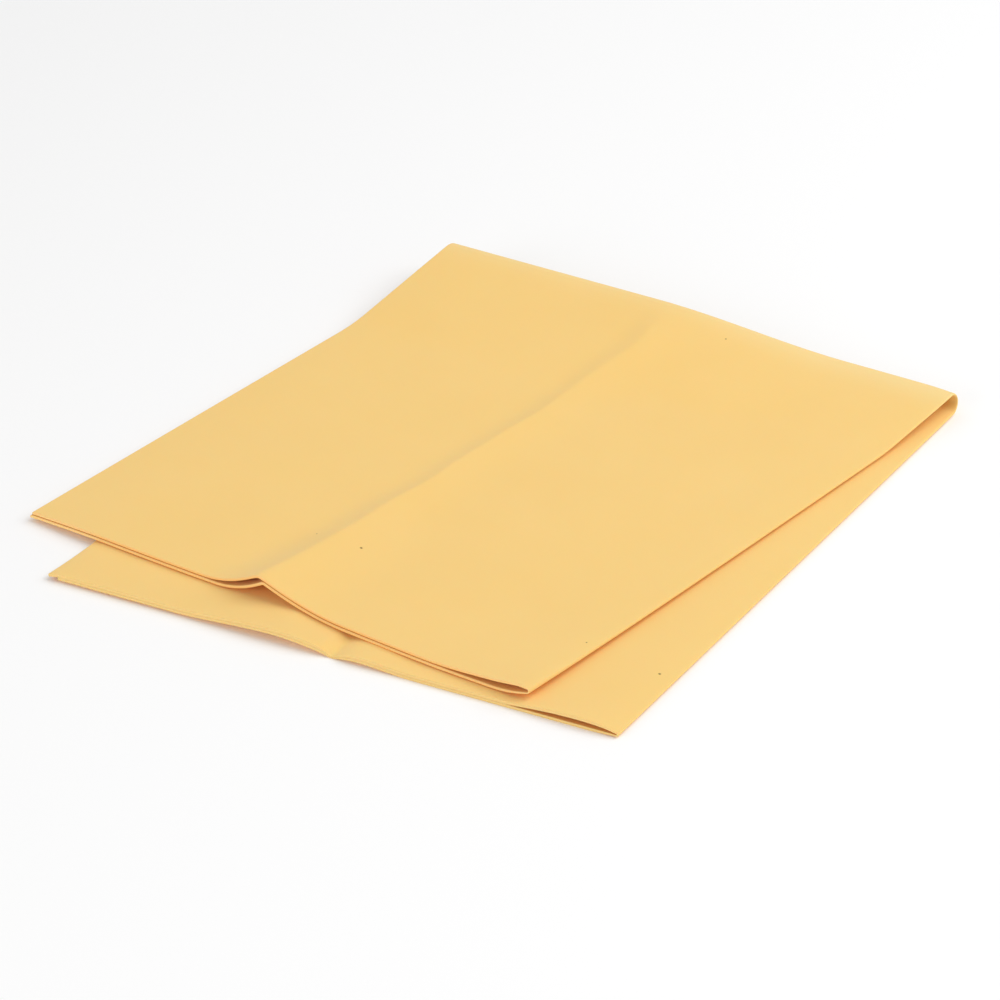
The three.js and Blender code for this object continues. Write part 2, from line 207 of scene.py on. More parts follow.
class ChamoisSizes(bpy.types.PropertyGroup):
    """Sizes of the sheet and of its folds"""

    width: FloatProperty(
        name="Width", description="Width of the flat sheet", default=440 * MM, unit="LENGTH")
    length: FloatProperty(
        name="Length", description="Length of the flat sheet", default=540 * MM, unit="LENGTH")
    thickness: FloatProperty(
        name="Thickness", description="Thickness of the cloth", default=1.1 * MM, unit="LENGTH")
    lower_gap: FloatProperty(
        name="Lower gap", description="Air between the two plies of the lower half",
        default=0.04 * MM, unit="LENGTH")
    upper_gap: FloatProperty(
        name="Upper gap", description="Air between the two plies of the upper half",
        default=0.12 * MM, unit="LENGTH")
    halves_gap: FloatProperty(
        name="Halves gap", description="Air between the two halves", default=0.3 * MM, unit="LENGTH")
    overhang_lower: FloatProperty(
        name="Overhang, lower", description="How far the inner ply passes the outer one, lower front edge",
        default=3.2 * MM, unit="LENGTH")
    overhang_upper: FloatProperty(
        name="Overhang, upper", description="How far the inner ply passes the outer one, upper front edge",
        default=0.6 * MM, unit="LENGTH")
    back_fold_at: FloatProperty(
        name="Back fold", description="Distance of the back fold from the front edge",
        default=275.4 * MM, unit="LENGTH")
    skew: FloatProperty(
        name="Skew", description="Turn of the back fold out of square", default=math.radians(-3.74),
        subtype="ANGLE")
    loop_free: FloatProperty(
        name="Loop, free edge", description="Radius of the back fold at the free edge",
        default=6.43 * MM, unit="LENGTH")
    loop_side: FloatProperty(
        name="Loop, side fold", description="Radius of the back fold at the side fold",
        default=3.72 * MM, unit="LENGTH")
    slope_free: FloatProperty(
        name="Slope, free edge", description="Fall of the upper half from the back fold at the free edge",
        default=math.radians(9.8), subtype="ANGLE")
    slope_side: FloatProperty(
        name="Slope, side fold", description="Fall of the upper half from the back fold at the side fold",
        default=math.radians(6.2), subtype="ANGLE")
    crease_lower: FloatProperty(
        name="Crease, lower front", description="Crease's distance from the free edge, lower front edge",
        default=109.1 * MM, unit="LENGTH")
    crease_back: FloatProperty(
        name="Crease, back fold", description="Crease's distance from the free edge, back fold",
        default=100 * MM, unit="LENGTH")
    crease_upper: FloatProperty(
        name="Crease, upper front", description="Crease's distance from the free edge, upper front edge",
        default=102.9 * MM, unit="LENGTH")
    ridge_front: FloatProperty(
        name="Ridge, front", description="Height of the ridge at the front edge",
        default=7 * MM, unit="LENGTH")
    ridge_along: FloatProperty(
        name="Ridge, along", description="Height of the ridge far from the front edge",
        default=1.5 * MM, unit="LENGTH")
    crest_step: FloatProperty(
        name="Crest step", description="How far the inner ply's crest lies right of the outer ply's",
        default=2.3 * MM, unit="LENGTH")
    ridge_left_outer: FloatProperty(
        name="Ridge, left, outer", description="Left flank's width at the front edge, outer ply",
        default=23 * MM, unit="LENGTH")
    ridge_left_inner: FloatProperty(
        name="Ridge, left, inner", description="Left flank's width at the front edge, inner ply",
        default=21.2 * MM, unit="LENGTH")
    ridge_left_along: FloatProperty(
        name="Ridge, left, along", description="Left flank's width far from the front edge",
        default=8 * MM, unit="LENGTH")
    ridge_right_front: FloatProperty(
        name="Ridge, right, front", description="Right flank's width at the front edge",
        default=35.4 * MM, unit="LENGTH")
    ridge_right_along: FloatProperty(
        name="Ridge, right, along", description="Right flank's width far from the front edge",
        default=18 * MM, unit="LENGTH")
    arch_left: FloatProperty(
        name="Arch, left", description="Lift of the lower front edge left of the crease",
        default=2.55 * MM, unit="LENGTH")
    arch_right: FloatProperty(
        name="Arch, right", description="Lift of the lower front edge right of the crease",
        default=1.1 * MM, unit="LENGTH")
    corner_lift: FloatProperty(
        name="Corner lift", description="Lift of the lower front edge's free corner",
        default=0.8 * MM, unit="LENGTH")
    opening_lower: FloatProperty(
        name="Opening, lower", description="How far the side fold stands open at the lower front edge",
        default=1.65 * MM, unit="LENGTH")
    opening_upper: FloatProperty(
        name="Opening, upper", description="How far the side fold stands open at the upper front edge",
        default=1.9 * MM, unit="LENGTH")
    nose_lift: FloatProperty(
        name="Nose lift", description="Lift of the upper half's side fold at its front corner",
        default=2.3 * MM, unit="LENGTH")
    front_step: FloatProperty(
        name="Front step", description="How far the inner ply passes the outer one at the upper front edge",
        default=0.4 * MM, unit="LENGTH")
    front_lead: FloatProperty(
        name="Front lead", description="How far the upper front edge leads at the free edge",
        default=2.15 * MM, unit="LENGTH")
    front_bow: FloatProperty(
        name="Front bow", description="Bow of the upper front edge", default=1.9 * MM, unit="LENGTH")
    droop: FloatProperty(
        name="Droop", description="Sag of the upper half's free corner", default=1.35 * MM, unit="LENGTH")
    sag: FloatProperty(
        name="Sag", description="Sag of the lower inner ply past the edge of the ply below it",
        default=0.35 * MM, unit="LENGTH")
    press: FloatProperty(
        name="Press", description="Share of its thickness that the cloth loses along the side fold",
        default=0.5, subtype="FACTOR")
    pinch: FloatProperty(
        name="Pinch", description="Share of its thickness that the cloth loses where both folds meet",
        default=0.4, subtype="FACTOR")
    groove: FloatProperty(
        name="Groove", description="Share of its thickness that the cloth loses in the lower crease",
        default=0.65, subtype="FACTOR")
    open_ridge: FloatProperty(
        name="Opened ridge", description="Height of the soft ridge along the back fold of the opened cloth",
        default=2.5 * MM, unit="LENGTH")


class ChamoisFinish(bpy.types.PropertyGroup):
    """Colours of the cloth, as sRGB hex values"""

    cloth: StringProperty(name="Cloth", description="Colour of the napped face", default="f6ce80")
    cloud: StringProperty(name="Clouds", description="Colour of the nap's darker clouds", default="f4ca78")
    # Painted shade: the faces inside both folds, which lie in the shade between the plies, are painted a
    # darker orange than the face outside
    inside: StringProperty(
        name="Inside", description="Colour of the face inside the fold, which hands and light reach less",
        default="e8b05c")
    # The cut edge colours are painted light: the upper half's edge is painted brighter than the face, so
    # that the front-facing cut faces look as bright as the lit top, and the lower half's edge is painted
    # less red
    upper_edge_painted_light: StringProperty(
        name="Cut edge", description="Colour of the upper half's raw cut edge", default="fccd86")
    lower_edge_painted_light: StringProperty(
        name="Lower cut edge", description="Colour of the lower half's raw cut edge", default="f2cd86")
    # Painted highlight: the nap outside the back fold is painted paler, as light on the fold's crest
    painted_highlight_colour: StringProperty(
        name="Worn fold", description="Colour of the nap that is rubbed pale along the back fold",
        default="f6d58f")
    fleck: StringProperty(name="Flecks", description="Colour of the stray dark fibres", default="6e5018")
    table: StringProperty(name="Table", description="Colour of the table", default="fdfdfd")


class ChamoisStage(bpy.types.PropertyGroup):
    """Camera of the stage"""

    lens: FloatProperty(
        name="Lens", description="Focal length on a 36 mm sensor", default=186.3, subtype="DISTANCE_CAMERA")
    azimuth: FloatProperty(
        name="Azimuth", description="Camera's turn to the right of the front", default=math.radians(28.94),
        subtype="ANGLE")
    elevation: FloatProperty(
        name="Elevation", description="Camera's height angle", default=math.radians(28.08), subtype="ANGLE")
    distance: FloatProperty(
        name="Distance", description="Camera's distance from its target", default=1846 * MM, unit="LENGTH")
    target: FloatVectorProperty(
        name="Target", description="Point that the camera looks at",
        default=(11.7 * MM, -14.9 * MM, 0), subtype="XYZ")


def mix(low, high, share):
    """Value a share of the way from low to high."""
    return low + (high - low) * share


def smooth_ramp(x, low, high):
    """Smooth step from 0 at low to 1 at high: three t squared less two t cubed."""
    t = np.clip((x - low) / (high - low), 0, 1)
    return t * t * (3 - 2 * t)


def undo_smooth_step(share):
    """Inverse of the smooth step: the t for which three t squared less two t cubed is the share."""
    return 0.5 - np.sin(np.arcsin(1 - 2 * share) / 3)


def bump(x, powers):
    """Bump over x from 0 to 1: x to the rise times 1 - x to the fall, over its own peak."""
    rise, fall = powers
    x = np.clip(x, 0, 1)
    peak = rise / (rise + fall)
    return (x / peak) ** rise * ((1 - x) / (1 - peak)) ** fall


def rounded_distance(x, rounding):
    """Distance from a crease with its sharp turn rounded off by a hyperbola."""
    return np.hypot(x, rounding) - rounding


def flank(distance, width, rounding):
    """Share of a ridge's height at a distance from its rounded crest: a parabola to 0 at its width."""
    return np.maximum(1 - rounded_distance(distance, rounding) / width, 0) ** 2


def lesser(first, second, rounding):
    """Lesser of two heights, with the change from one to the other rounded off by a hyperbola."""
    return np.maximum((first + second - np.hypot(first - second, rounding)) / 2, 0)


class FoldedSheet:
    """The cloth as a map from the flat sheet, a across and v along, to its folded form."""

    def __init__(self, sizes):
        self.sizes = sizes
        self.ply_offset = (sizes.thickness + sizes.upper_gap) / 2
        self.lower_middle = sizes.thickness + sizes.lower_gap / 2
        upper_half = sizes.thickness + sizes.upper_gap / 2
        self.upper_middle = 2 * self.lower_middle + sizes.halves_gap + upper_half
        self.turn_length = math.pi * self.ply_offset
        self.turn_start = (sizes.width - self.turn_length - sizes.overhang_lower) / 2
        self.strip_width = self.turn_start + self.ply_offset
        self.loop_start = -sizes.loop_free
        self.loop_end = sizes.loop_free * (math.pi - 1 + sizes.slope_free)

    def inner(self, s):
        """Flat place on the inner ply that lies at s across the strip."""
        return 2 * self.turn_start + self.turn_length - s

    def overhang(self, v):
        """Inner ply's overhang at the free edge: a parabola that falls to the upper front edge."""
        sizes = self.sizes
        share = (1 - np.clip(v / sizes.length, 0, 1)) ** 2
        return mix(sizes.overhang_upper, sizes.overhang_lower, share)

    def front_fade(self, v, run):
        """Exponential fade away from the upper front edge."""
        return np.exp(-np.maximum(self.sizes.length - v, 0) / run)

    def crease(self, v):
        """Crease across the strip: straight to the back fold, then with a bell-shaped bend and a meander.

        The meander fades towards both of its ends as a parabola.
        """
        sizes = self.sizes
        lower = mix(sizes.crease_lower, sizes.crease_back, v / sizes.back_fold_at)
        from_fold = v - sizes.back_fold_at
        past = from_fold / (sizes.length - sizes.back_fold_at)
        straight = mix(sizes.crease_back, sizes.crease_upper, past)
        bend = CREASE_BEND * np.exp(-((from_fold - CREASE_BEND_AT) / CREASE_BEND_REACH) ** 2)
        waves = sum(size * np.sin(math.tau * v / length + start) for size, length, start in CREASE_WAVES)
        meander = waves * np.clip(4 * past * (1 - past), 0, 1)
        return np.where(past < 0, lower, straight + bend + meander)

    def groove(self, s, v):
        """Share of the thickness lost in the lower crease: a bell curve that fades from the front."""
        bell = np.exp(-((s - self.crease(v)) / GROOVE_REACH) ** 2)
        return self.sizes.groove * bell * np.exp(-np.maximum(v, 0) / GROOVE_FADE)

    def local_thickness(self, s, v):
        """Thickness of the cloth: pressed along the side fold and pinched where the back fold meets it.

        Both are bell curves of the distances from the folds. The lower crease is pressed in as a groove.
        """
        sizes = self.sizes
        pressed = np.exp(-((self.strip_width - s) / PRESS_REACH) ** 2)
        across = np.exp(-((self.strip_width - s) / PINCH_ACROSS) ** 2)
        along = np.exp(-((self.fold_coordinates(s, v)[1] - PINCH_MIDDLE) / PINCH_ALONG) ** 2)
        folded = (1 - sizes.press * pressed) * (1 - sizes.pinch * across * along)
        return sizes.thickness * folded * (1 - self.groove(s, v))

    def fold_coordinates(self, s, v):
        """Distances along the back fold and past its outermost line: the strip turned by the skew."""
        sizes = self.sizes
        across = s - self.strip_width / 2
        along = v - sizes.back_fold_at
        p = across * math.cos(sizes.skew) + along * math.sin(sizes.skew)
        q = along * math.cos(sizes.skew) - across * math.sin(sizes.skew)
        return p, q

    def length_at_fold(self, s, q):
        """Length along the sheet at which the strip place s lies q past the back fold's line."""
        sizes = self.sizes
        across = s - self.strip_width / 2
        return sizes.back_fold_at + (q + across * math.sin(sizes.skew)) / math.cos(sizes.skew)

    def across_fold(self, a):
        """Outer ply up to the side fold, half a turn of the ply offset's radius, inner ply back."""
        turn = np.clip((a - self.turn_start) / self.ply_offset, 0, math.pi)
        past = np.maximum(a - self.turn_start - self.turn_length, 0)
        s = np.minimum(a, self.turn_start) + self.ply_offset * np.sin(turn) - past
        return s, -np.cos(turn), turn > math.pi / 2

    def back_section(self, p, q):
        """Section square to the back fold: flat, an arc past half a turn, a straight slope, a knee, flat.

        y runs to the back from the fold's outermost line, and turn is the way turned so far.
        """
        sizes = self.sizes
        narrowing = smooth_ramp(p, LOOP_NARROWS_FROM, LOOP_NARROWS_TO)
        radius = mix(sizes.loop_free, sizes.loop_side, narrowing)
        slope = mix(sizes.slope_free, sizes.slope_side, narrowing)
        past_start = np.maximum(q + radius, 0)
        turn = np.minimum(past_start / radius, math.pi + slope)
        loop_y = radius * (np.sin(turn) - 1) + np.minimum(q + radius, 0)
        loop_z = self.lower_middle + radius * (1 - np.cos(turn))
        past_loop = past_start - radius * turn
        drop = radius * (1 + np.cos(slope)) + self.lower_middle - self.upper_middle
        slope_length = (drop - KNEE_RADIUS * (1 - np.cos(slope))) / np.sin(slope)
        run = np.minimum(past_loop, slope_length)
        bent = np.clip((past_loop - slope_length) / KNEE_RADIUS, 0, slope)
        flat = np.maximum(past_loop - slope_length - KNEE_RADIUS * slope, 0)
        knee_y = KNEE_RADIUS * (np.sin(slope) - np.sin(slope - bent))
        knee_z = KNEE_RADIUS * (np.cos(slope - bent) - np.cos(slope))
        y = loop_y - run * np.cos(slope) - knee_y - flat
        z = loop_z - run * np.sin(slope) - knee_z
        return y, z, turn - bent

    def ridge(self, s, v, inner):
        """Ridge of the upper half: a parabola down each flank of the crease, fading from the front edge.

        The inner ply's crest lies a step right of the outer ply's, and right of it both fall as one.
        """
        sizes = self.sizes
        fade = self.front_fade(v, RIDGE_FADE)
        left_front = np.where(inner, sizes.ridge_left_inner, sizes.ridge_left_outer)
        left = mix(sizes.ridge_left_along, left_front, fade)
        right = mix(sizes.ridge_right_along, sizes.ridge_right_front, fade)
        step = np.where(inner, sizes.crest_step * fade, 0)
        side = s - self.crease(v)
        past_loop = self.fold_coordinates(s, v)[1] - self.loop_end
        soft = 1 - smooth_ramp(past_loop, 0, RIDGE_SOFT_RUN)
        sharp_rounding = mix(CREST_ROUNDING_ALONG, CREST_ROUNDING_FRONT, fade)
        outer_rounding = mix(sharp_rounding, CREST_ROUNDING_END, soft)
        left_rounding = np.where(inner, CREASE_ROUNDING, outer_rounding)
        on_left = flank(step, right, outer_rounding) * flank(side - step, left, left_rounding)
        on_right = flank(side, right, outer_rounding)
        ending = smooth_ramp(past_loop, 0, RIDGE_END_FADE)
        height = mix(sizes.ridge_along, sizes.ridge_front, fade)
        return height * np.where(side < step, on_left, on_right) * ending

    def room_above(self, s, v):
        """Room for the lower half: a share of the ridge mirrored at the back fold, and more in front."""
        sizes = self.sizes
        p, q = self.fold_coordinates(s, v)
        flat_from = FLAT_PAST_FOLD * sizes.length
        above = self.back_section(p, flat_from)[0] + flat_from - q
        across = self.strip_width / 2 + p * math.cos(sizes.skew) - above * math.sin(sizes.skew)
        length = sizes.back_fold_at + p * math.sin(sizes.skew) + above * math.cos(sizes.skew)
        in_front = np.maximum(length - sizes.length - sizes.front_lead - sizes.front_bow, 0)
        return ARCH_ROOM_SHARE * self.ridge(across, length, True) + ARCH_ROOM_SLOPE * in_front

    def arches(self, s, v):
        """Two teardrop arches beside the crease's valley at the lower front edge, and the lifted corner.

        The left arch runs in under the ridge, as far as there is room for it.
        """
        sizes = self.sizes
        side = s - self.crease(v)
        reach = rounded_distance(side, CREASE_ROUNDING)
        near = np.maximum(1 - v / ARCH_DEPTH, 0) ** 2
        deep = np.maximum(1 - v / ARCH_LEFT_DEPTH, 0) ** 2
        arch = sizes.arch_left * bump(reach / ARCH_LEFT_RUN, TEARDROP) * deep
        left = lesser(arch, self.room_above(s, v), ARCH_ROOM_ROUNDING)
        corner = sizes.corner_lift * smooth_ramp(reach, 0, ARCH_LEFT_RUN) * near
        right = sizes.arch_right * bump(reach / ARCH_RIGHT_RUN, TEARDROP) * near
        return np.where(side < 0, left + corner, right)

    def nose_lift(self, from_tip, v):
        """Parabola by which the upper half's side fold is lifted, fading from its front corner."""
        rise = np.maximum(1 - from_tip / NOSE_LIFT_RUN, 0) ** 2
        return self.sizes.nose_lift * rise * self.front_fade(v, NOSE_LIFT_FADE)

    def lower_opening(self, from_tip, v):
        """Blunt bump by which the lower plies stand apart at the side fold, fading from the front."""
        height = mix(OPENING_ALONG, self.sizes.opening_lower, np.exp(-v / OPENING_FADE))
        return height * bump(from_tip / OPENING_LOWER_RUN, LOWER_NOSE)

    def upper_opening(self, from_tip, v):
        """The same between the upper plies."""
        height = mix(OPENING_ALONG, self.sizes.opening_upper, self.front_fade(v, OPENING_FADE))
        return height * bump(from_tip / OPENING_UPPER_RUN, UPPER_NOSE)

    def raised(self, s, v, inner, x):
        """Height added to the upper half: ridge and lifted nose, less the droop past the lower half."""
        sizes = self.sizes
        overhang = np.maximum(-self.strip_width / 2 - x, 0)
        droop = sizes.droop * (overhang / DROOP_REACH) ** DROOP_POWER
        return self.ridge(s, v, inner) + self.nose_lift(self.strip_width - s, v) - droop

    def place(self, a, v):
        """Middle of the folded cloth: the section of the back fold, with each ply set off from it."""
        sizes = self.sizes
        s, side, inner = self.across_fold(a)
        p, q = self.fold_coordinates(s, v)
        y, z, turn = self.back_section(p, q)
        upper_share = smooth_ramp(turn, 0, math.pi)
        from_tip = self.strip_width - s
        opening = np.where(inner, self.lower_opening(from_tip, v) * (1 - upper_share),
                           -self.upper_opening(from_tip, v) * upper_share)
        gap = mix(sizes.lower_gap, sizes.upper_gap, upper_share)
        apart = side * (self.local_thickness(s, v) + gap) / 2 + opening
        y = y - apart * np.sin(turn)
        x = p * math.cos(sizes.skew) - y * math.sin(sizes.skew)
        sag = np.where(inner, sizes.sag * (np.maximum(-s, 0) / sizes.overhang_lower) ** 2, 0)
        raised = self.raised(s, v, inner, x) * upper_share
        sunk = sag + sizes.thickness * self.groove(s, v)
        added = np.where(turn < math.pi / 2, self.arches(s, v) - sunk, raised)
        depth = sizes.back_fold_at + p * math.sin(sizes.skew) + y * math.cos(sizes.skew)
        return np.stack([x, depth, z + added + apart * np.cos(turn)], axis=-1)

    def normals(self, a, v):
        """Cross product of the slopes across and along, from central differences."""
        h = DIFFERENCE_STEP
        across = self.place(a + h, v) - self.place(a - h, v)
        along = self.place(a, v + h) - self.place(a, v - h)
        normal = np.cross(across, along)
        return normal / np.linalg.norm(normal, axis=-1, keepdims=True)

    def painted_fold_highlight(self, a, v):
        """Share of the painted highlight outside the back fold, a paler band of nap that stands in for
        light on the fold: a bell curve past its line.
        """
        s, _, inner = self.across_fold(a)
        q = self.fold_coordinates(s, v)[1]
        return np.where(inner, 0, np.exp(-((q - PAINTED_HIGHLIGHT_MIDDLE) / PAINTED_HIGHLIGHT_RUN) ** 2))

    def turn_share(self, a, v, axis_height):
        """Share of the back fold's turn that lays a point of the upper half flat behind the lower half.

        The fold's axis lies along the fold's outermost line. A point at an angle about that axis turns
        until it lies at the opened cloth's height.
        """
        sizes = self.sizes
        s, _, inner = self.across_fold(a)
        p, q = self.fold_coordinates(s, v)
        y, z, turn = self.back_section(p, q)
        x = p * math.cos(sizes.skew) - y * math.sin(sizes.skew)
        z = z + np.where(turn < math.pi / 2, 0, np.maximum(self.raised(s, v, inner, x), 0))
        reach = np.hypot(y, z - axis_height)
        angle = np.arctan2(z - axis_height, y)
        soft_ridge = sizes.open_ridge * np.exp(-(q / sizes.loop_free) ** 2)
        rise = np.clip((self.lower_middle + soft_ridge - axis_height) / reach, -1, 1)
        share = (angle - np.arcsin(rise)) / math.pi
        opened = np.where(turn < OPENS_FROM, 0, np.clip(share, 0, 1))
        return opened * smooth_ramp(turn, *JOINS_BETWEEN)


def crowd_start(count):
    """Shares from 0 to 1 that crowd towards 0."""
    return np.linspace(0, 1, count + 1) ** CROWDING


def crowd_end(count):
    """Shares from 0 to 1 that crowd towards 1."""
    return 1 - np.linspace(1, 0, count + 1) ** CROWDING


def upper_front(sheet, s, side):
    """Length along the sheet of the upper front edge: the plies' step, the lead and a teardrop bow."""
    sizes = sheet.sizes
    x = s / sheet.strip_width
    lead = sizes.front_lead * (1 - x) + sizes.front_bow * bump(x, TEARDROP)
    return sizes.length + side * sizes.front_step / 2 + lead


def flat_grid(sheet):
    """Flat places of the mesh: columns that follow the crease, rows that follow the back fold.

    The free edges, not cut quite straight, lead a little towards the lower front corner.
    """
    sizes = sheet.sizes
    left = np.insert(crowd_end(LEFT_COLUMNS), 1, EDGE_COLUMN)
    right = crowd_start(RIGHT_COLUMNS)[1:]
    turn = np.linspace(0, 1, TURN_COLUMNS + 1)[1:]
    crease_first = sizes.crease_back
    outer = np.concatenate([left * crease_first, mix(crease_first, sheet.turn_start, right)])
    inner_left = mix(-sizes.overhang_lower, crease_first, left)
    inner = np.concatenate([inner_left, mix(crease_first, sheet.turn_start, right)])[::-1]
    nominal = np.concatenate([outer, sheet.turn_start + turn * sheet.turn_length, sheet.inner(inner[1:])])
    s, side, is_inner = sheet.across_fold(nominal)
    first = sheet.length_at_fold(s, sheet.loop_start)[:, None]
    last = sheet.length_at_fold(s, sheet.loop_end)[:, None]
    front = upper_front(sheet, s, side)[:, None]
    v = np.concatenate([
        first * crowd_start(LOWER_ROWS)[None, :],
        mix(first, last, np.linspace(0, 1, LOOP_ROWS + 1)[None, 1:]),
        mix(last, front, crowd_end(UPPER_ROWS)[None, 1:]),
    ], axis=1)
    moved = sheet.crease(v) - crease_first
    from_left = s / crease_first
    from_right = (sheet.turn_start - s) / (sheet.turn_start - crease_first)
    near = np.clip(np.where(s < crease_first, from_left, from_right), 0, 1)
    at_free_edge = np.clip(1 - from_left, 0, 1)[:, None]
    fade = np.exp(-v / CORNER_LEAD_FADE)
    inner_lead = CORNER_LEAD_INNER * fade + sheet.overhang(v) - sizes.overhang_lower
    shift = moved * near[:, None]
    inner_shift = inner_lead * at_free_edge - shift
    outer_shift = shift - CORNER_LEAD_OUTER * fade * at_free_edge
    return nominal[:, None] + np.where(is_inner[:, None], inner_shift, outer_shift), v


def border_of(grid):
    """Values round the border of a grid of columns and rows, in order."""
    return np.concatenate([grid[:-1, 0], grid[-1, :-1], grid[:0:-1, -1], grid[0, :0:-1]])


def for_points(grid):
    """Values of a grid for all points of the mesh: both faces, then the lines round the edge."""
    return np.concatenate([np.tile(grid.ravel(), 2), np.tile(border_of(grid), len(EDGE_ANGLES))])


def rounded_edge(sheet, a, v):
    """Lines round the cut edge: a half ellipse of the thickness and the bulge, square to the border."""
    outward = np.zeros((2, *a.shape))
    outward[0, 0, :], outward[0, -1, :] = -1, 1
    outward[1, :, 0], outward[1, :, -1] = -1, 1
    out_a, out_v = (border_of(way) for way in outward)
    edge_a, edge_v = border_of(a), border_of(v)
    upper = smooth_ramp(edge_v, LOWER_EDGE_TO, UPPER_EDGE_FROM)
    bulge = mix(EDGE_BULGE_LOWER, EDGE_BULGE_UPPER, upper)
    lines = []
    for angle in EDGE_ANGLES:
        reach = bulge * math.cos(angle)
        line_a, line_v = edge_a + reach * out_a, edge_v + reach * out_v
        thickness = sheet.local_thickness(sheet.across_fold(line_a)[0], line_v)
        side = sheet.normals(line_a, line_v) * thickness[:, None] / 2 * math.sin(angle)
        lines.append(sheet.place(line_a, line_v) + side)
    return np.concatenate(lines)


def shell_faces(columns, rows):
    """Quads of a closed shell: two grids, and the rounded edge that joins their borders."""
    index = np.arange(columns * rows).reshape(columns, rows)
    corners = [index[:-1, :-1], index[1:, :-1], index[1:, 1:], index[:-1, 1:]]
    top = np.stack(corners, axis=-1).reshape(-1, 4)
    under = columns * rows
    border = border_of(index)
    lines = 2 * under + np.arange(len(EDGE_ANGLES) * len(border)).reshape(-1, len(border))
    loops = np.concatenate([border[None], lines, border[None] + under])
    following = np.roll(loops, -1, axis=1)
    edge = np.stack([loops[:-1], loops[1:], following[1:], following[:-1]], axis=-1).reshape(-1, 4)
    return np.concatenate([top, top[:, ::-1] + under, edge]), len(edge)


def mesh_points(sheet, a, v):
    """Points of both faces of the folded cloth and of its edge, with its box centred on the table."""
    middle = sheet.place(a, v)
    thickness = sheet.local_thickness(sheet.across_fold(a)[0], v)
    offset = sheet.normals(a, v) * thickness[..., None] / 2
    faces_of_cloth = [(middle + offset).reshape(-1, 3), (middle - offset).reshape(-1, 3)]
    points = np.concatenate(faces_of_cloth + [rounded_edge(sheet, a, v)])
    low, high = points.min(axis=0), points.max(axis=0)
    return points - [(low[0] + high[0]) / 2, (low[1] + high[1]) / 2, low[2]]


def grain_places(sheet, a, v):
    """Places in the grain's space: the inside face far above the outside face, the edge close to it."""
    flat = np.stack([a, v, np.zeros_like(a)], axis=-1).reshape(-1, 3)
    edge_a, edge_v = border_of(a), border_of(v)
    border = np.stack([edge_a, edge_v, np.zeros_like(edge_a)], axis=-1)
    heights = np.repeat(np.sin(EDGE_ANGLES), len(border)) * sheet.sizes.thickness
    edge = np.tile(border, (len(EDGE_ANGLES), 1)) + np.outer(heights, [0, 0, 1])
    return np.concatenate([flat + [0, 0, INSIDE_PLACE], flat, edge])


def add_attribute(mesh, name, kind, field, values):
    """Add an attribute with a value for each point of the mesh."""
    mesh.attributes.new(name, kind, "POINT").data.foreach_set(field, values.ravel())


def linear_colour(text):
    """sRGB hex text to a linear colour with full alpha."""
    values = [int(text[i:i + 2], 16) / 255 for i in (0, 2, 4)]
    return [c / 12.92 if c <= 0.04045 else ((c + 0.055) / 1.055) ** 2.4 for c in values] + [1.0]


def add_node(tree, kind, inputs=None, **settings):
    """Add a node, set its settings, and set or link its inputs."""
    node = tree.nodes.new(kind)
    for name, value in settings.items():
        setattr(node, name, value)
    for name, value in (inputs or {}).items():
        if isinstance(value, bpy.types.NodeSocket):
            tree.links.new(value, node.inputs[name])
        else:
            node.inputs[name].default_value = value
    return node


def new_material(name):
    """Material with an empty node tree."""
    material = bpy.data.materials.new(name)
    material.use_nodes = True
    material.node_tree.nodes.clear()
    return material


def fleck_mask(tree, flat):
    """Mask of the stray fibres: 1 in the core of any fleck, falling to 0 at its radius."""
    mask = 0.0
    for across, along, radius in FLECKS:
        place = (across, along, 0)
        distance = add_node(tree, "ShaderNodeVectorMath", {0: flat, 1: place}, operation="DISTANCE")
        spot = add_node(tree, "ShaderNodeMapRange", {
            "Value": distance.outputs["Value"],
            "From Min": radius,
            "From Max": FLECK_CORE * radius,
        })
        joined = add_node(tree, "ShaderNodeMath", {0: spot.outputs["Result"], 1: mask}, operation="MAXIMUM")
        mask = joined.outputs["Value"]
    return mask


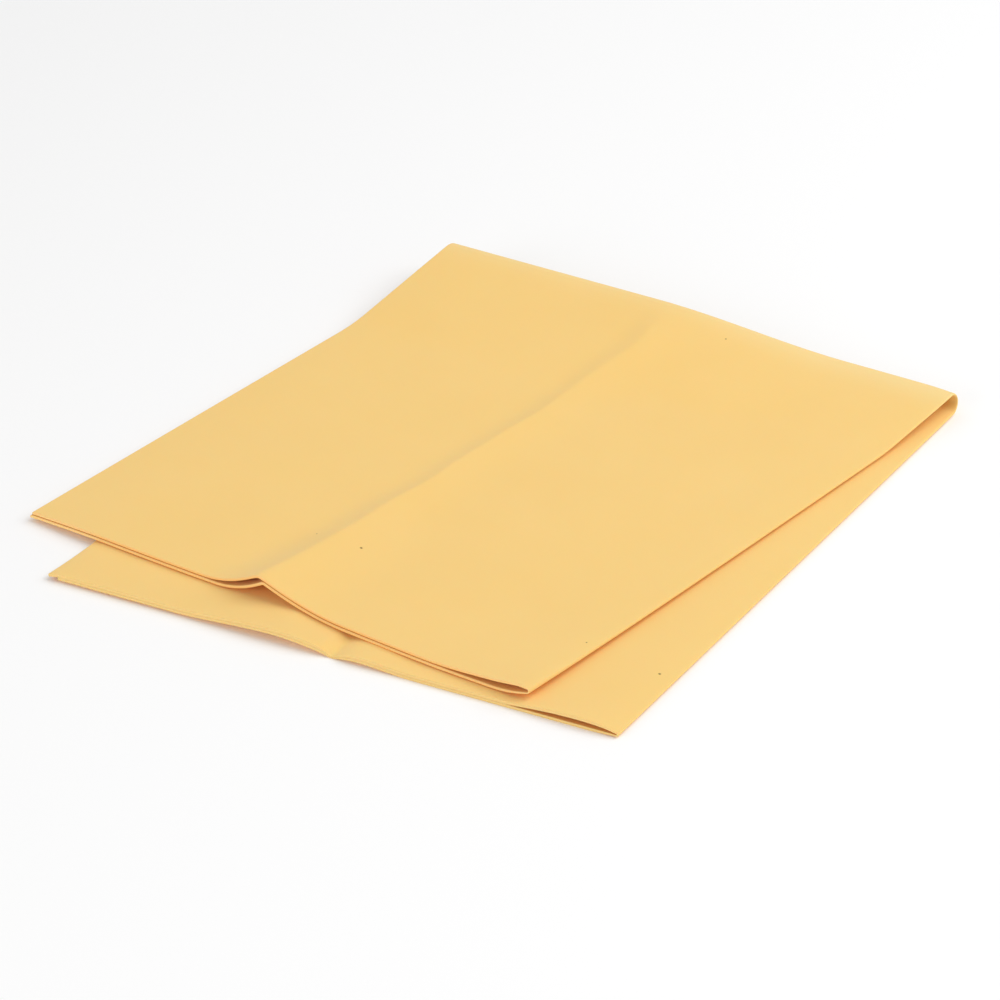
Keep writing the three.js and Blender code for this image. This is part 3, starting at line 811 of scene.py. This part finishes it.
def chamois_material(finish):
    """Synthetic chamois, a needled and napped non-woven: matt, faintly clouded, uneven and finely felted.

    The real fibres are some 0.02 mm thick. They are drawn as tufts of 0.5 mm, which the camera still sees.
    """
    material = new_material("synthetic_chamois")
    tree = material.node_tree
    flat = add_node(tree, "ShaderNodeAttribute", attribute_name="flat_place").outputs["Vector"]
    clouds = add_node(tree, "ShaderNodeTexNoise", {"Vector": flat, **CLOUDS})
    painted_highlight_share = add_node(tree, "ShaderNodeAttribute", attribute_name="painted_fold_highlight")
    # Mask of the face inside the folds, which takes the painted shade
    height = add_node(tree, "ShaderNodeSeparateXYZ", {"Vector": flat}).outputs["Z"]
    inside_shade_mask = add_node(tree, "ShaderNodeMath", {0: height, 1: INSIDE_PLACE / 2}, operation="GREATER_THAN")
    # Tints over the cloth colour: clouds of the nap, a painted highlight along the back fold, painted shade
    # on the face inside the folds, and the stray fibres
    tints = (
        (clouds.outputs["Fac"], finish.cloud),
        (painted_highlight_share.outputs["Fac"], finish.painted_highlight_colour),
        (inside_shade_mask.outputs["Value"], finish.inside),
        (fleck_mask(tree, flat), finish.fleck),
    )
    colour = linear_colour(finish.cloth)
    for factor, tint in tints:
        inputs = {"Factor": factor, "A": colour, "B": linear_colour(tint)}
        colour = add_node(tree, "ShaderNodeMix", inputs, data_type="RGBA").outputs["Result"]

    waves = add_node(tree, "ShaderNodeTexNoise", {"Vector": flat, **WAVES})
    uneven = add_node(tree, "ShaderNodeBump", {"Height": waves.outputs["Fac"], "Distance": WAVE_HEIGHT})
    tufts = add_node(tree, "ShaderNodeTexNoise", {"Vector": flat, **TUFTS})
    combed = add_node(tree, "ShaderNodeMapping", {"Vector": flat, "Scale": STREAK_SCALE})
    streaks = add_node(tree, "ShaderNodeTexNoise", {"Vector": combed.outputs["Vector"], **STREAKS})
    grain = add_node(tree, "ShaderNodeMath", {
        0: tufts.outputs["Fac"],
        1: streaks.outputs["Fac"],
    }, operation="ADD")
    relief = add_node(tree, "ShaderNodeBump", {
        "Height": grain.outputs["Value"],
        "Normal": uneven.outputs["Normal"],
        **NAP_RELIEF,
    })
    shader = add_node(tree, "ShaderNodeBsdfPrincipled", {
        "Base Color": colour,
        "Normal": relief.outputs["Normal"],
        **NAP_LOOK,
        **SCATTER,
    })
    add_node(tree, "ShaderNodeOutputMaterial", {"Surface": shader.outputs["BSDF"]})
    return material


def cut_edge_material(finish):
    """Raw cut edge of the non-woven: open fibre ends, with a painted-light tint of its own in each half,
    brighter on the upper half's edge than on the lower one.
    """
    material = new_material("cut_chamois_edge")
    tree = material.node_tree
    flat = add_node(tree, "ShaderNodeAttribute", attribute_name="flat_place").outputs["Vector"]
    along = add_node(tree, "ShaderNodeSeparateXYZ", {"Vector": flat}).outputs["Y"]
    # Share of the upper half's painted-light edge colour along the sheet
    upper = add_node(tree, "ShaderNodeMapRange", {
        "Value": along,
        "From Min": LOWER_EDGE_TO,
        "From Max": UPPER_EDGE_FROM,
    })
    colour = add_node(tree, "ShaderNodeMix", {
        "Factor": upper.outputs["Result"],
        "A": linear_colour(finish.lower_edge_painted_light),
        "B": linear_colour(finish.upper_edge_painted_light),
    }, data_type="RGBA")
    fibres = add_node(tree, "ShaderNodeTexNoise", {"Vector": flat, **CUT_FIBRES})
    relief = add_node(tree, "ShaderNodeBump", {"Height": fibres.outputs["Fac"], **CUT_FIBRE_RELIEF})
    shader = add_node(tree, "ShaderNodeBsdfPrincipled", {
        "Base Color": colour.outputs["Result"],
        "Normal": relief.outputs["Normal"],
        **CUT_EDGE_LOOK,
        **SCATTER,
    })
    add_node(tree, "ShaderNodeOutputMaterial", {"Surface": shader.outputs["BSDF"]})
    return material


def table_material(finish):
    """Matt pale table."""
    material = new_material("pale_table")
    tree = material.node_tree
    shader = add_node(tree, "ShaderNodeBsdfPrincipled", {
        "Base Color": linear_colour(finish.table),
        **TABLE_LOOK,
    })
    add_node(tree, "ShaderNodeOutputMaterial", {"Surface": shader.outputs["BSDF"]})
    return material


def light_world(scene):
    """Even white light of the room, and a white backdrop that only the camera sees."""
    world = bpy.data.worlds.new("studio")
    world.use_nodes = True
    scene.world = world
    tree = world.node_tree
    tree.nodes.clear()
    path = add_node(tree, "ShaderNodeLightPath")
    light = add_node(tree, "ShaderNodeBackground", {"Color": WHITE, "Strength": SKY_LIGHT})
    seen = add_node(tree, "ShaderNodeBackground", {"Color": WHITE, "Strength": BACKDROP_LIGHT})
    chosen = add_node(tree, "ShaderNodeMixShader", {
        0: path.outputs["Is Camera Ray"],
        1: light.outputs["Background"],
        2: seen.outputs["Background"],
    })
    add_node(tree, "ShaderNodeOutputWorld", {"Surface": chosen.outputs["Shader"]})


def add_lamps(scene):
    """Round soft boxes that face the origin."""
    for name, size, power, place in LAMPS:
        lamp = bpy.data.lights.new(name, "AREA")
        lamp.shape = "DISK"
        lamp.size = size
        lamp.energy = power
        soft_box = bpy.data.objects.new(name, lamp)
        soft_box.location = place
        soft_box.rotation_euler = soft_box.location.to_track_quat("Z", "Y").to_euler()
        scene.collection.objects.link(soft_box)


def add_camera(scene):
    """Camera at its distance from its target, turned by its azimuth and raised by its elevation."""
    stage = scene.chamois_stage
    camera_data = bpy.data.cameras.new("camera")
    camera_data.sensor_width = SENSOR_WIDTH
    camera_data.lens = stage.lens
    camera_data.clip_end = CAMERA_REACH
    camera = bpy.data.objects.new("camera", camera_data)
    back = Vector((
        math.sin(stage.azimuth) * math.cos(stage.elevation),
        -math.cos(stage.azimuth) * math.cos(stage.elevation),
        math.sin(stage.elevation),
    ))
    camera.location = Vector(stage.target) + back * stage.distance
    camera.rotation_euler = back.to_track_quat("Z", "Y").to_euler()
    scene.collection.objects.link(camera)
    scene.camera = camera


class CHAMOIS_OT_cloth(bpy.types.Operator):
    """Build the folded cloth as one closed sheet"""

    bl_idname = "chamois.cloth"
    bl_label = "Folded Cloth"

    def execute(self, context):
        sheet = FoldedSheet(context.scene.chamois_sizes)
        a, v = flat_grid(sheet)
        faces, edge_count = shell_faces(*a.shape)
        axis_height = frame["joints"][0]["pos_m"][2]
        shares = for_points(sheet.turn_share(a, v, axis_height))
        mesh = bpy.data.meshes.new("chamois_cloth")
        mesh.from_pydata(np.outer(undo_smooth_step(shares), [1, 0, 0]), [], faces)
        cloth = bpy.data.objects.new("chamois_cloth", mesh)
        context.scene.collection.objects.link(cloth)

        # The turn about the back fold is shared out while the sheet lies in a row by its share of it
        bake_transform(cloth)
        mesh.vertices.foreach_set("co", mesh_points(sheet, a, v).ravel())

        add_attribute(mesh, "flat_place", "FLOAT_VECTOR", "vector", grain_places(sheet, a, v))
        # Share of the painted highlight along the back fold
        add_attribute(mesh, "painted_fold_highlight", "FLOAT", "value", for_points(sheet.painted_fold_highlight(a, v)))
        is_edge = np.arange(len(faces)) >= len(faces) - edge_count
        mesh.polygons.foreach_set("use_smooth", np.ones(len(faces), dtype=bool))
        mesh.polygons.foreach_set("material_index", is_edge.astype(np.int32))
        mesh.materials.append(chamois_material(context.scene.chamois_finish))
        mesh.materials.append(cut_edge_material(context.scene.chamois_finish))
        mesh.update()

        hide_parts(*frame["nodes"])
        return {"FINISHED"}


class CHAMOIS_OT_stage(bpy.types.Operator):
    """Build the table, the light and the camera"""

    bl_idname = "chamois.stage"
    bl_label = "Table, Light and Camera"

    def execute(self, context):
        mesh = bpy.data.meshes.new("table")
        reach = TABLE_REACH
        corners = [(-reach, -reach, 0), (reach, -reach, 0), (reach, reach, 0), (-reach, reach, 0)]
        mesh.from_pydata(corners, [], [(0, 1, 2, 3)])
        mesh.materials.append(table_material(context.scene.chamois_finish))
        table = bpy.data.objects.new("table", mesh)
        context.scene.collection.objects.link(table)

        light_world(context.scene)
        add_lamps(context.scene)
        add_camera(context.scene)
        context.scene.view_settings.view_transform = "Standard"
        context.scene.cycles.max_bounces = LIGHT_BOUNCES
        context.scene.cycles.diffuse_bounces = LIGHT_BOUNCES
        return {"FINISHED"}


class CHAMOIS_PT_panel(bpy.types.Panel):
    """Sizes, colours and build buttons"""

    bl_label = "Folded Chamois Cloth"
    bl_idname = "CHAMOIS_PT_panel"
    bl_space_type = "VIEW_3D"
    bl_region_type = "UI"
    bl_category = "Chamois"

    def draw(self, context):
        scene = context.scene
        for group in (scene.chamois_sizes, scene.chamois_finish, scene.chamois_stage):
            column = self.layout.column(align=True)
            for name in group.__annotations__:
                column.prop(group, name)
        self.layout.operator(CHAMOIS_OT_cloth.bl_idname)
        self.layout.operator(CHAMOIS_OT_stage.bl_idname)


CLASSES = (
    ChamoisSizes,
    ChamoisFinish,
    ChamoisStage,
    CHAMOIS_OT_cloth,
    CHAMOIS_OT_stage,
    CHAMOIS_PT_panel,
)


def register():
    for cls in CLASSES:
        bpy.utils.register_class(cls)
    bpy.types.Scene.chamois_sizes = PointerProperty(type=ChamoisSizes)
    bpy.types.Scene.chamois_finish = PointerProperty(type=ChamoisFinish)
    bpy.types.Scene.chamois_stage = PointerProperty(type=ChamoisStage)


def unregister():
    del bpy.types.Scene.chamois_stage
    del bpy.types.Scene.chamois_finish
    del bpy.types.Scene.chamois_sizes
    for cls in reversed(CLASSES):
        bpy.utils.unregister_class(cls)


def main():
    register()
    bpy.ops.chamois.cloth()
    bpy.ops.chamois.stage()


if __name__ == "__main__":
    main()
